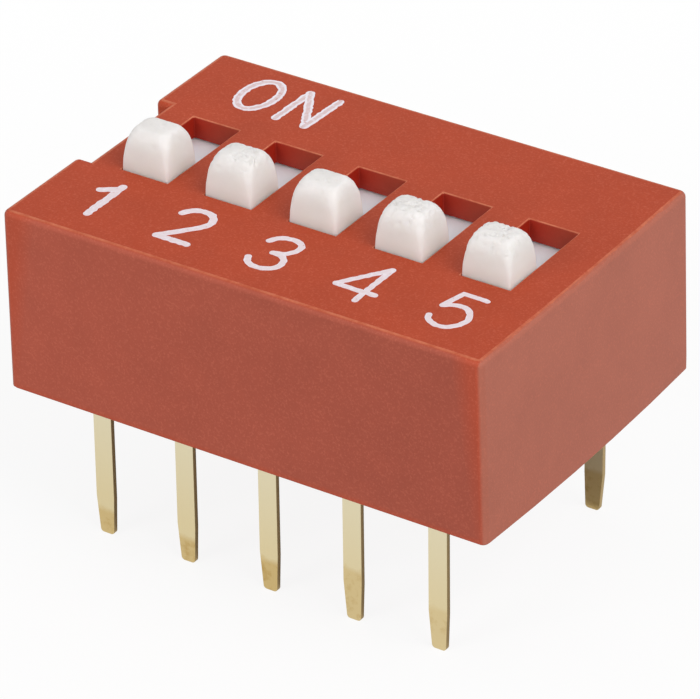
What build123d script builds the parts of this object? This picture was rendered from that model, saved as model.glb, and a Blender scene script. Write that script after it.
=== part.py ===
from build123d import *
from math import sqrt
import os

# Slide DIP switch with five keys, for through-hole boards. Millimetres.
# The origin is on the board's surface, at the centre of the pin grid. +X runs from key 1 to key 5,
# +Y from OFF to ON, and +Z up out of the board. All keys stand at OFF.

# Grid of the board's holes
positions = 5
pitch = 2.54
row_spacing = 7.62

# Cover: one moulded shell, open below
end_wall = 1.025
row_to_side = 1.165
corner_radius = 0.2
top_edge_radius = 0.16
rim_height = 0.4
rim_chamfer = 0.05
end_bow = 0.13
end_bow_top = 0.05
end_lean = 0.13
notch_width = 3.5
notch_offset = 0.08
notch_depth = 0.43
notch_corner_radius = 0.17
roof = 0.62
rib = 0.45
slot_width = 1.43
slot_length = 3.27
mouth_chamfer = 0.1

# Base: the plate that closes the cover and carries the terminals
base_recess = 0.2
base_thickness = 1.4
base_clearance = 0.02
base_edge = 0.39
base_corner_radius = 0.2
end_ledge = 0.075
core_depth = 0.4
core_end_margin = 0.8
core_row_margin = 0.75
core_corner_radius = 0.3
snap_radius = 0.1
snap_length = 1.4
snap_rise = 0.55
snap_clearance = 0.02

# Key: knob, cover plate and keel in one moulding
knob_length = 1.29
knob_height = 1.15
knob_foot_radius = 0.05
knob_top_radius = 0.24
crown_height = 0.6
crown_side_inset = 0.18
crown_end_inset = 0.28
key_side_clearance = 0.015
key_end_clearance = 0.02
plate_thickness = 0.65
plate_lap = 0.2
plate_lead = 0.12
plate_side_clearance = 0.045
plate_top_clearance = 0.03
plate_end_clearance = 0.15
keel_height = 0.95
keel_width = 1.3
keel_length = 1.9
tab_width = 0.4
tab_length = 0.4
stake_lap = 0.13
stake_height = 0.14

# Contact: a formed strip that bridges the two terminals of its position
contact_strip = 0.12
contact_width = 0.9
contact_height = 1.33
contact_bend_radius = 0.18
contact_gap = 0.02
foot_length = 0.3
web_length = 1.0
toe_reach = 0.3
toe_rise = 0.3
finger_gap = 0.2
finger_root = 0.1
tab_clearance = 0.02

# Terminal: one stamping for both rows, bent from the pad down into the pin
strip = 0.15
blade_width = 0.55
pad_width = 1.1
pad_gap = 0.8
shoulder_depth = 0.9
bend_radius = 0.22
pin_length = 4.35
tip_length = 1.1
tip_width = 0.41
tip_offset = 0.03
tip_radius = 0.1
dimple_radius = 0.35
dimple_depth = 0.04
terminal_fit = 0.01

# One length by which every cut runs past the face it opens
overrun = 0.5

# Places along the grid
first_x = -(positions - 1) * pitch / 2
key_places = [first_x + n * pitch for n in range(positions)]
row_y = row_spacing / 2

# Travel of a key, where its knob and its contact stand at OFF, and how far the contact's legs spread
travel = slot_length - knob_length - 2 * key_end_clearance
key_y = -travel / 2
contact_y = key_y - travel / 2
leg_run = (travel - foot_length - web_length) / 2

# Widths and lengths that follow from the pieces that fit into each other
channel_width = pitch - rib
channel_span = positions * pitch - rib
plate_width = channel_width - 2 * plate_side_clearance
knob_width = slot_width - 2 * key_side_clearance
plate_length = slot_length + travel + 2 * plate_lap
cavity_width = plate_length + travel + 2 * plate_end_clearance
cover_length = channel_span + 2 * end_wall
cover_width = row_spacing + 2 * row_to_side
base_length = channel_span + 2 * (end_ledge - base_clearance)
base_width = row_spacing + strip + 2 * base_edge
snap_places = [(x, side) for x in (key_places[0] + pitch / 2, key_places[-1] - pitch / 2) for side in (-1, 1)]

# Levels, stacked up from the board
base_top = base_recess + base_thickness
web_top = base_top + contact_gap + contact_height
plate_bottom = web_top + keel_height
plate_top = plate_bottom + plate_thickness
roof_bottom = plate_top + plate_top_clearance
cover_height = roof_bottom + roof
snap_level = base_recess + snap_rise

# Cover, in plan: notched left end, bowed right end that leans in towards the top
def draw_outline(level, lean, bow):
    """One level of the cover's outer walls."""
    with BuildSketch(Plane.XY.offset(level)) as outline:
        with BuildLine():
            Polyline(
                (cover_length / 2 - lean, cover_width / 2),
                (-cover_length / 2, cover_width / 2),
                (-cover_length / 2, -cover_width / 2),
                (cover_length / 2 - lean, -cover_width / 2),
            )
            ThreePointArc(
                (cover_length / 2 - lean, -cover_width / 2),
                (cover_length / 2 - lean + bow, 0),
                (cover_length / 2 - lean, cover_width / 2),
            )
        make_face()
        fillet(outline.vertices(), corner_radius)
        with Locations((-cover_length / 2, notch_offset)):
            Rectangle(2 * notch_depth, notch_width, mode=Mode.SUBTRACT)
        notch_mouth = outline.vertices().group_by(Axis.X)[0].filter_by(lambda v: abs(v.Y) < notch_width)
        fillet(notch_mouth, notch_corner_radius)
    return outline.sketch


rim_outline = draw_outline(rim_height, 0, end_bow)
top_outline = draw_outline(cover_height, end_lean, end_bow_top)
with BuildPart() as cover:
    # Straight rim, and the walls above it
    extrude(rim_outline, amount=-rim_height)
    chamfer(cover.edges().group_by(Axis.Z)[0], rim_chamfer)
    loft([rim_outline, top_outline], ruled=True)
    fillet(cover.edges().group_by(Axis.Z)[-1], top_edge_radius)
    # Pocket for the base, with a lead-in at its mouth
    with BuildSketch():
        Rectangle(base_length + 2 * base_clearance, base_width + 2 * base_clearance)
    extrude(amount=base_top, mode=Mode.SUBTRACT)
    mouth = cover.faces().sort_by(Axis.Z)[0].inner_wires()[0]
    chamfer(mouth.edges(), mouth_chamfer)
    # One channel per key, which leaves the ribs standing between them
    with BuildSketch(Plane.XY.offset(base_top)):
        with GridLocations(pitch, 0, positions, 1):
            Rectangle(channel_width, cavity_width)
    extrude(amount=roof_bottom - base_top, mode=Mode.SUBTRACT)
    # Slots through the roof
    with BuildSketch(Plane.XY.offset(roof_bottom)):
        with GridLocations(pitch, 0, positions, 1):
            Rectangle(slot_width, slot_length)
    extrude(amount=roof + overrun, mode=Mode.SUBTRACT)
    # Grooves that the base snaps into
    with Locations([(x, side * base_width / 2, snap_level) for x, side in snap_places]):
        Cylinder(
            snap_radius + snap_clearance,
            snap_length + 2 * snap_clearance,
            rotation=(0, 90, 0),
            mode=Mode.SUBTRACT,
        )
cover.part.label = "cover"


def make_terminal(grow):
    """One front terminal at x = 0, or the seat around it when grow is its clearance."""
    with BuildPart() as bent_strip:
        # Side view: the strip runs along the base's top and turns down through it
        with BuildSketch(Plane.YZ):
            with BuildLine():
                FilletPolyline(
                    (-pad_gap / 2 + grow, base_top - strip / 2),
                    (-row_y, base_top - strip / 2),
                    (-row_y, -pin_length - grow),
                    radius=bend_radius,
                )
            trace(line_width=strip + 2 * grow)
        extrude(amount=pad_width / 2 + grow, both=True)
        # Front view: shoulders inside the base, a narrower pin below, a tip that tapers more on one side
        shoulder_z = base_top - shoulder_depth - grow
        taper_z = tip_length - pin_length
        with BuildSketch(Plane.XZ) as front_view:
            with BuildLine():
                Polyline(
                    (pad_width / 2 + grow, base_top + overrun),
                    (pad_width / 2 + grow, shoulder_z),
                    (blade_width / 2 + grow, shoulder_z),
                    (blade_width / 2 + grow, taper_z),
                    (tip_offset + tip_width / 2 + grow, -pin_length - grow),
                    (tip_offset - tip_width / 2 - grow, -pin_length - grow),
                    (-blade_width / 2 - grow, taper_z),
                    (-blade_width / 2 - grow, shoulder_z),
                    (-pad_width / 2 - grow, shoulder_z),
                    (-pad_width / 2 - grow, base_top + overrun),
                    close=True,
                )
            make_face()
            fillet(front_view.vertices().group_by(Axis.Y)[0], tip_radius)
        extrude(amount=row_spacing, both=True, mode=Mode.INTERSECT)
    return bent_strip.part


stamping = make_terminal(0)
seat = make_terminal(terminal_fit)

# Terminal, with a shallow dimple wherever a foot of the contact comes to rest
with BuildPart() as terminal:
    add(stamping)
    with Locations(
        (0, contact_y + travel / 2, base_top + dimple_radius - dimple_depth),
        (0, contact_y - travel / 2, base_top + dimple_radius - dimple_depth),
    ):
        Cylinder(dimple_radius, contact_width, rotation=(0, 90, 0), mode=Mode.SUBTRACT)

# Base, seen from below as a cored plate
with BuildPart() as base:
    with BuildSketch(Plane.XY.offset(base_recess)):
        RectangleRounded(base_length, base_width, base_corner_radius)
    extrude(amount=base_thickness)
    with BuildSketch(Plane.XY.offset(base_recess)):
        RectangleRounded(
            base_length - 2 * core_end_margin,
            row_spacing - strip - 2 * core_row_margin,
            core_corner_radius,
        )
    extrude(amount=core_depth, mode=Mode.SUBTRACT)
    with Locations([(x, side * base_width / 2, snap_level) for x, side in snap_places]):
        Cylinder(snap_radius, snap_length, rotation=(0, 90, 0))
    for x in key_places:
        for turn in (0, 180):
            add(seat.moved(Location((x, 0, 0), (0, 0, turn))), mode=Mode.SUBTRACT)
base.part.label = "base"

# Knob sections from foot to top as height, share of the crown's inset and corner radius: the crown rounds over
# in three steps, and the upright edges grow softer towards it
knob_sections = [(0, 0, knob_foot_radius)]
for rise_share, turn_share in ((0, 0), (1 / 2, 1 - sqrt(3 / 4)), (sqrt(3 / 4), 1 / 2), (1, 1)):
    level = knob_height - crown_height * (1 - rise_share)
    softening = (knob_top_radius - knob_foot_radius) * level / knob_height
    knob_sections.append((level, turn_share, knob_foot_radius + softening))

# Key at x = 0: plate, keel and staked tab below, knob above
with BuildPart() as actuator:
    with BuildSketch(Plane.XY.offset(plate_bottom)):
        with Locations((0, key_y)):
            Rectangle(plate_width, plate_length)
    extrude(amount=plate_thickness)
    plate_rim = actuator.faces().sort_by(Axis.Z)[-1].edges().filter_by(Axis.X)
    chamfer(plate_rim, plate_lead)
    with BuildSketch(Plane.XY.offset(web_top)):
        with Locations((0, contact_y)):
            Rectangle(keel_width, keel_length)
    extrude(amount=keel_height)
    with BuildSketch(Plane.XY.offset(web_top)):
        with Locations((0, contact_y)):
            Rectangle(tab_width, tab_length)
    extrude(amount=-contact_strip)
    with BuildSketch(Plane.XY.offset(web_top - contact_strip)):
        with Locations((0, contact_y)):
            Rectangle(tab_width + 2 * stake_lap, tab_length + 2 * stake_lap)
    extrude(amount=-stake_height)
    with BuildSketch(Plane.XY.offset(plate_top)):
        with Locations((0, key_y)):
            RectangleRounded(knob_width, knob_length, knob_foot_radius)
    extrude(amount=cover_height - plate_top)
    for level, turn_share, radius in knob_sections:
        with BuildSketch(Plane.XY.offset(cover_height + level)):
            with Locations((0, key_y)):
                RectangleRounded(
                    knob_width - 2 * crown_side_inset * turn_share,
                    knob_length - 2 * crown_end_inset * turn_share,
                    radius,
                )
    loft(ruled=True)

# Contact at x = 0: web under the keel, two legs, feet that ride on the pads, upturned toes
foot_level = base_top + contact_gap + contact_strip / 2
web_level = web_top - contact_strip / 2
foot_inner = travel / 2 - foot_length / 2
foot_outer = travel / 2 + foot_length / 2
with BuildPart() as contact:
    with BuildSketch(Plane.YZ):
        with BuildLine():
            FilletPolyline(
                (contact_y - foot_outer - toe_reach, foot_level + toe_rise),
                (contact_y - foot_outer, foot_level),
                (contact_y - foot_inner, foot_level),
                (contact_y - foot_inner + leg_run, web_level),
                (contact_y + foot_inner - leg_run, web_level),
                (contact_y + foot_inner, foot_level),
                (contact_y + foot_outer, foot_level),
                (contact_y + foot_outer + toe_reach, foot_level + toe_rise),
                radius=contact_bend_radius,
            )
        trace(line_width=contact_strip)
    extrude(amount=contact_width / 2, both=True)
    # Each leg is split into two fingers
    with BuildSketch(Plane.XY.offset(base_top)):
        with Locations((0, contact_y - foot_outer - toe_reach), (0, contact_y + foot_outer + toe_reach)):
            Rectangle(finger_gap, 2 * (toe_reach + foot_length + leg_run - finger_root))
    extrude(amount=contact_height, mode=Mode.SUBTRACT)
    # Window for the key's tab
    with BuildSketch(Plane.XY.offset(web_top)):
        with Locations((0, contact_y)):
            Rectangle(tab_width + 2 * tab_clearance, tab_length + 2 * tab_clearance)
    extrude(amount=-2 * contact_strip, mode=Mode.SUBTRACT)

# One file per piece
os.makedirs("parts", exist_ok=True)
export_step(cover.part, "parts/cover.step")
export_step(base.part, "parts/base.step")
for number, x in enumerate(key_places, start=1):
    pieces = {
        f"actuator_{number}": actuator.part.moved(Location((x, 0, 0))),
        f"contact_{number}": contact.part.moved(Location((x, 0, 0))),
        f"terminal_front_{number}": terminal.part.moved(Location((x, 0, 0))),
        f"terminal_back_{number}": terminal.part.moved(Location((x, 0, 0), (0, 0, 180))),
    }
    for name, piece in pieces.items():
        piece.label = name
        export_step(piece, f"parts/{name}.step")
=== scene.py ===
"""Looks of a five-position slide DIP switch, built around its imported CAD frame.

Every size is in metres in the frame's own axes. +X runs from key 1 to key 5, +Y from OFF to ON and +Z up.
"""

import logging
import math
from dataclasses import dataclass
from enum import Enum
from typing import Callable, ClassVar, Iterable, Sequence

import bmesh
import bpy
from mathutils import Matrix, Vector, noise


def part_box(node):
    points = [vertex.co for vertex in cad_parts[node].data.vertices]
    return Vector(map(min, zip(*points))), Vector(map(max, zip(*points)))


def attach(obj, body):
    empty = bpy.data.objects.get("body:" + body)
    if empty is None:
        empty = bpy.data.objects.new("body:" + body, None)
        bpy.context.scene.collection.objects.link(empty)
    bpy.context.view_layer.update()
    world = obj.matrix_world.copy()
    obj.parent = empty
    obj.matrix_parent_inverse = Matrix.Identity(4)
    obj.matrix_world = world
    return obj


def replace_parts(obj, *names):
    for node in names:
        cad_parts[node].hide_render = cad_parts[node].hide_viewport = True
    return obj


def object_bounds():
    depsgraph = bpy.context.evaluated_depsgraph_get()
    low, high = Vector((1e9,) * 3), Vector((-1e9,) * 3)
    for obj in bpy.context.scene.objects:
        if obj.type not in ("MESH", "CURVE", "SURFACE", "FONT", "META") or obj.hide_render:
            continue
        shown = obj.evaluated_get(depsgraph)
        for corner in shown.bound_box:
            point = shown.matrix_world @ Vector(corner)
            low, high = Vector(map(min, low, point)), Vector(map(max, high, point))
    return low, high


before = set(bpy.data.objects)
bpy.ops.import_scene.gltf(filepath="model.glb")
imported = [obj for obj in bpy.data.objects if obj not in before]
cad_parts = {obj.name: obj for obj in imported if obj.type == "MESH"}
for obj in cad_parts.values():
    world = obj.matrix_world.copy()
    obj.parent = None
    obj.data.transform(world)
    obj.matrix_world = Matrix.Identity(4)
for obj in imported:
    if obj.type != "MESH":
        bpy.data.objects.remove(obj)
CAD_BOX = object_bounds()

LOG = logging.getLogger("dip_switch")
MM = 0.001
KEY_COUNT = 5

# Vertices closer than this are one, and faces that turn by less than this are one plane
WELD = 0.0002 * MM
FLAT_ANGLE = math.radians(0.2)
SHARP_ANGLE = math.radians(40)

# Marks that a face can carry for its material: off polished steel and painted with the shade of the slots, rubbed by
# handling and painted with a highlight along the edges, painted sheen on the long sides, painted sheen on the ends,
# sheared by the press and painted darker as shade, how high up a pin the stain of its tip reaches and how brown it is
MARKS = ("polished_and_shaded", "rubbed", "side_sheen", "end_sheen", "sheared_and_shaded", "tide", "brown")

# The colour mix node has several sockets of each name, so they go by number
FACTOR, A, B = 0, 6, 7
COLOUR_MIX = {"output": 2, "data_type": "RGBA"}

# How a noise pattern breaks up: softly, into fine grain, or into clouds
BROKEN = {"Roughness": 0.6}
FINE = {**BROKEN, "Detail": 3.0}
CLOUDY = {**BROKEN, "Detail": 4.0}

Colour = tuple[float, float, float, float]
Inputs = dict[str | int, object] | Sequence[object]
Point = tuple[float, float]
Pair = tuple[Vector, Vector]
Tree = bpy.types.NodeTree
Socket = bpy.types.NodeSocket
Material = bpy.types.Material
Piece = bpy.types.Object
Solid = bmesh.types.BMesh
Edge = bmesh.types.BMEdge
Face = bmesh.types.BMFace


class Row(Enum):
    """The two rows of terminals."""

    FRONT = "front"
    BACK = "back"


class KnobTop(Enum):
    """How far the moulding left the top of a knob uneven, as a depth in metres."""

    CLEAN = 0.022 * MM
    FRAYED = 0.06 * MM
    CHIPPED = 0.08 * MM


class StrokeEnd(Enum):
    """Whether a printed stroke is open, with round ends, or closed on itself."""

    ROUND = "round"
    CLOSED = "closed"


def linear(hex_colour: str) -> Colour:
    """Turns an sRGB hex colour into a linear one.

    Args:
        hex_colour: Six hex digits after a hash sign.

    Returns:
        Linear red, green and blue, and an alpha of one.
    """
    channels = [int(hex_colour[i : i + 2], 16) / 255 for i in (1, 3, 5)]
    red, green, blue = (c / 12.92 if c <= 0.04045 else ((c + 0.055) / 1.055) ** 2.4 for c in channels)
    return red, green, blue, 1.0


def per_size(size: float) -> float:
    """Returns the texture scale at which one feature of a pattern is this many metres across."""
    return 1.0 / size


def ramp(value: float, start: float, end: float) -> float:
    """Returns how far a value has gone from a start to an end, as a share of the way."""
    return (value - start) / (end - start)


def add_node(tree: Tree, kind: str, inputs: Inputs = (), output: str | int = 0, **settings: object) -> Socket | None:
    """Adds one node, with its settings, its input values and the links that feed it.

    Args:
        tree: The node tree that takes the node.
        kind: Blender's name for the node's class.
        inputs: Values by input socket, or in the sockets' order. A socket is linked, and a hex colour made linear.
        output: The output to hand back.
        **settings: Properties of the node.

    Returns:
        That output socket, or nothing for a node that ends a tree.
    """
    node = tree.nodes.new(kind)
    for name, value in settings.items():
        setattr(node, name, value)
    for socket, value in inputs.items() if isinstance(inputs, dict) else enumerate(inputs):
        if isinstance(value, Socket):
            tree.links.new(value, node.inputs[socket])
        else:
            node.inputs[socket].default_value = linear(value) if isinstance(value, str) else value
    return node.outputs[output] if node.outputs else None


def new_material(name: str) -> tuple[Material, Tree, Socket]:
    """Makes a material with nothing in its node tree but the place.

    Args:
        name: The material's name.

    Returns:
        The material, its tree and the place in the switch's own axes.
    """
    material = bpy.data.materials.new(name)
    material.use_nodes = True
    tree = material.node_tree
    tree.nodes.clear()
    return material, tree, add_node(tree, "ShaderNodeTexCoord", output="Object")


@dataclass(frozen=True)
class MouldedPbt:
    """Red glass-filled PBT, injection moulded.

    The top is matt and deep orange red. The long sides and the ends are painted paler, as painted sheen of the white
    surroundings, the ends most. Slots and the inside come off polished steel, so they are glossier, and their deep red
    is painted shade, darkest in each slot towards key 1.
    """

    name: str = "moulded_red_pbt"
    matt: str = "#AC4020"
    # The long sides' red without the painted sheen, shown at the upright corners and the foot
    clear: str = "#BA4B2E"
    # Painted sheen: the long sides are painted paler, as if they mirrored the white surroundings
    side_sheen: str = "#B35540"
    # Painted shade: the long sides' painted sheen colour, darker towards key 5
    side_sheen_far_shaded: str = "#A7503D"
    # Painted sheen: the ends are painted palest
    end_sheen: str = "#B06653"
    # Painted shade in the slots and inside, darkest towards key 1 in each slot and lighter away from it
    polished_and_shaded: str = "#9E2413"
    lighter_slot_shade: str = "#A83F29"
    slot_pitch: float = 2.54 * MM
    slot_shade_start: float = -0.72 * MM
    slot_shade_end: float = 0.35 * MM
    fleck: str = "#C97058"
    # Paler rims and edges: partly handling wear, partly a painted highlight
    rubbed: str = "#D07C5C"
    ior: float = 1.5
    specular: float = 0.25
    matt_roughness: float = 0.6
    polished_roughness: float = 0.42
    grain: float = 0.055 * MM
    grain_depth: float = 0.004 * MM
    # Fibre ends are about 0.01 mm across, too fine to show, so they are drawn coarser
    fleck_size: float = 0.055 * MM
    fleck_range: Point = (0.5, 0.75)
    fleck_strength: float = 0.28
    fleck_glint: float = 0.3
    cloud_size: float = 1.3 * MM
    cloud_range: Point = (0.3, 0.7)
    cloud_shade: Point = (0.94, 1.03)
    rub_size: float = 0.3 * MM
    rub_range: Point = (0.36, 0.62)
    rub_strength: Point = (0.4, 0.95)
    corner_start: float = 6.85 * MM
    corner_end: float = 7.35 * MM
    corner_sheen: float = 0.25
    corner_slant: float = 0.14
    foot_band: float = 0.2 * MM
    foot_sheen: float = 0.1
    half_length: float = 7.0 * MM

    def make(self) -> Material:
        """Makes the finish from nodes.

        Returns:
            The finished material.
        """
        material, tree, place = new_material(self.name)
        marks = {
            name: add_node(tree, "ShaderNodeAttribute", output="Fac", attribute_name=name)
            for name in ("polished_and_shaded", "rubbed", "side_sheen", "end_sheen")
        }
        by_face = self.walls(tree, place, marks["side_sheen"], marks["end_sheen"])
        # Ends of the glass fibres show as pale flecks
        fibre = add_node(tree, "ShaderNodeTexNoise", {"Vector": place, "Scale": per_size(self.fleck_size), **BROKEN})
        fibre_mask = add_node(tree, "ShaderNodeMapRange", (fibre, *self.fleck_range, 0.0, self.fleck_strength))
        flecked = add_node(tree, "ShaderNodeMix", {FACTOR: fibre_mask, A: by_face, B: self.fleck}, **COLOUR_MIX)
        # Painted shade in the slots: their walls are darkest towards key 1 and lighter away from it
        across = add_node(tree, "ShaderNodeSeparateXYZ", (place,), "X")
        half_pitch = self.slot_pitch / 2
        in_slot = add_node(tree, "ShaderNodeMath", (across, half_pitch, -half_pitch), operation="WRAP")
        slot_shade_fade = add_node(tree, "ShaderNodeMapRange", (in_slot, self.slot_shade_start, self.slot_shade_end))
        wall = add_node(tree, "ShaderNodeMix", {FACTOR: slot_shade_fade, A: self.polished_and_shaded, B: self.lighter_slot_shade}, **COLOUR_MIX)
        with_slot_shade = add_node(tree, "ShaderNodeMix", {FACTOR: marks["polished_and_shaded"], A: flecked, B: wall}, **COLOUR_MIX)
        # Handling has rubbed the rims paler, in broken stretches, and the same paler colour is a painted highlight
        # along the edges
        stretch = add_node(tree, "ShaderNodeTexNoise", {"Vector": place, "Scale": per_size(self.rub_size), **FINE})
        stretch_mask = add_node(tree, "ShaderNodeMapRange", (stretch, *self.rub_range, *self.rub_strength))
        rub_and_highlight_mask = add_node(tree, "ShaderNodeMath", (stretch_mask, marks["rubbed"]), operation="MULTIPLY")
        worn_and_highlighted = add_node(tree, "ShaderNodeMix", {FACTOR: rub_and_highlight_mask, A: with_slot_shade, B: self.rubbed}, **COLOUR_MIX)
        # Cloudy flow marks, about a millimetre wide, shift the red slightly
        cloud = add_node(tree, "ShaderNodeTexNoise", {"Vector": place, "Scale": per_size(self.cloud_size), **CLOUDY})
        clouded = add_node(tree, "ShaderNodeMapRange", (cloud, *self.cloud_range, *self.cloud_shade))
        shade = add_node(tree, "ShaderNodeMath", (fibre_mask, self.fleck_glint, clouded), operation="MULTIPLY_ADD")
        colour = add_node(tree, "ShaderNodeHueSaturation", {"Color": worn_and_highlighted, "Value": shade})
        grain = add_node(tree, "ShaderNodeTexNoise", {"Vector": place, "Scale": per_size(self.grain), **FINE})
        relief = add_node(tree, "ShaderNodeBump", {"Height": grain, "Strength": 1.0, "Distance": self.grain_depth})
        by_polish = (marks["polished_and_shaded"], 0.0, 1.0, self.matt_roughness, self.polished_roughness)
        gloss = add_node(tree, "ShaderNodeMapRange", by_polish)
        look = {"Base Color": colour, "Roughness": gloss, "Normal": relief}
        look |= {"IOR": self.ior, "Specular IOR Level": self.specular}
        shader = add_node(tree, "ShaderNodeBsdfPrincipled", look)
        add_node(tree, "ShaderNodeOutputMaterial", {"Surface": shader})
        return material

    def walls(self, tree: Tree, place: Socket, side_sheen: Socket, end_sheen: Socket) -> Socket:
        """Colours the top, the long sides and the ends.

        The long sides and the ends get paler colours as painted sheen. The painted sheen of the long sides fades
        towards the upright corners, sooner higher up, and at the foot, and it is painted dimmer towards key 5 as
        painted shade.

        Args:
            tree: The material's tree.
            place: The place in the switch's own axes.
            side_sheen: The mark of the painted sheen of the long sides.
            end_sheen: The mark of the painted sheen of the ends.

        Returns:
            The colour.
        """
        across = add_node(tree, "ShaderNodeSeparateXYZ", (place,), "X")
        up = across.node.outputs["Z"]
        from_middle = add_node(tree, "ShaderNodeMath", (across,), operation="ABSOLUTE")
        slanted = add_node(tree, "ShaderNodeMath", (up, self.corner_slant, from_middle), operation="MULTIPLY_ADD")
        corner = (slanted, self.corner_start, self.corner_end, 1.0, self.corner_sheen)
        by_corner = add_node(tree, "ShaderNodeMapRange", corner)
        by_foot = add_node(tree, "ShaderNodeMapRange", (up, 0.0, self.foot_band, self.foot_sheen, 1.0))
        sheen_share = add_node(tree, "ShaderNodeMath", (by_corner, by_foot), operation="MULTIPLY")
        # Painted shade: the long sides are painted darker towards key 5
        along = add_node(tree, "ShaderNodeMapRange", (across, -self.half_length, self.half_length))
        sheen_side = add_node(tree, "ShaderNodeMix", {FACTOR: along, A: self.side_sheen, B: self.side_sheen_far_shaded}, **COLOUR_MIX)
        side = add_node(tree, "ShaderNodeMix", {FACTOR: sheen_share, A: self.clear, B: sheen_side}, **COLOUR_MIX)
        sided = add_node(tree, "ShaderNodeMix", {FACTOR: side_sheen, A: self.matt, B: side}, **COLOUR_MIX)
        return add_node(tree, "ShaderNodeMix", {FACTOR: end_sheen, A: sided, B: self.end_sheen}, **COLOUR_MIX)


@dataclass(frozen=True)
class MouldedNylon:
    """White nylon, injection moulded: satin, with light that soaks in a little, so that its edges look soft.

    The plate down in the slot and the knob's foot are painted a cooler white than the knob above: painted cool light
    down in the slot, and the foot's white painted to cancel the red light that the cover bounces onto it.
    """

    name: str = "moulded_white_nylon"
    body: str = "#E5E2E0"
    shaded: str = "#DEDBD8"
    # Cooler whites painted low down: cool light in the slot, and the foot painted to cancel red light bounced from the
    # cover
    plate: str = "#ECF0FF"
    foot: str = "#ECF3EE"
    plate_level: float = 4.75 * MM
    foot_level: float = 5.2 * MM
    knob_level: float = 6.25 * MM
    ior: float = 1.53
    roughness: float = 0.52
    soak_weight: float = 1.0
    soak_depth: float = 0.6 * MM
    soak_reach: tuple[float, float, float] = (1.0, 1.0, 0.95)
    grain: float = 0.09 * MM
    grain_break: float = 0.55
    grain_depth: float = 0.004 * MM
    cloud_size: float = 0.6 * MM
    cloud_range: Point = (0.35, 0.7)

    def make(self) -> Material:
        """Makes the finish from nodes.

        Returns:
            The finished material.
        """
        material, tree, place = new_material(self.name)
        cloud = add_node(tree, "ShaderNodeTexNoise", {"Vector": place, "Scale": per_size(self.cloud_size), **CLOUDY})
        mask = add_node(tree, "ShaderNodeMapRange", (cloud, *self.cloud_range))
        knob = add_node(tree, "ShaderNodeMix", {FACTOR: mask, A: self.body, B: self.shaded}, **COLOUR_MIX)
        up = add_node(tree, "ShaderNodeSeparateXYZ", (place,), "Z")
        # Painted light: cooler whites on the plate and the foot, fading into the knob's own white higher up
        lifted = add_node(tree, "ShaderNodeMapRange", (up, self.plate_level, self.foot_level))
        lower = add_node(tree, "ShaderNodeMix", {FACTOR: lifted, A: self.plate, B: self.foot}, **COLOUR_MIX)
        painted_tint_fade = add_node(tree, "ShaderNodeMapRange", (up, self.foot_level, self.knob_level))
        colour = add_node(tree, "ShaderNodeMix", {FACTOR: painted_tint_fade, A: lower, B: knob}, **COLOUR_MIX)
        pattern = {"Vector": place, "Scale": per_size(self.grain), **FINE, "Roughness": self.grain_break}
        grain = add_node(tree, "ShaderNodeTexNoise", pattern)
        relief = add_node(tree, "ShaderNodeBump", {"Height": grain, "Strength": 1.0, "Distance": self.grain_depth})
        look = {"Base Color": colour, "Roughness": self.roughness, "IOR": self.ior, "Normal": relief}
        look |= {"Subsurface Weight": self.soak_weight, "Subsurface Scale": self.soak_depth}
        look |= {"Subsurface Radius": self.soak_reach}
        shader = add_node(tree, "ShaderNodeBsdfPrincipled", look)
        add_node(tree, "ShaderNodeOutputMaterial", {"Surface": shader})
        return material


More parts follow.
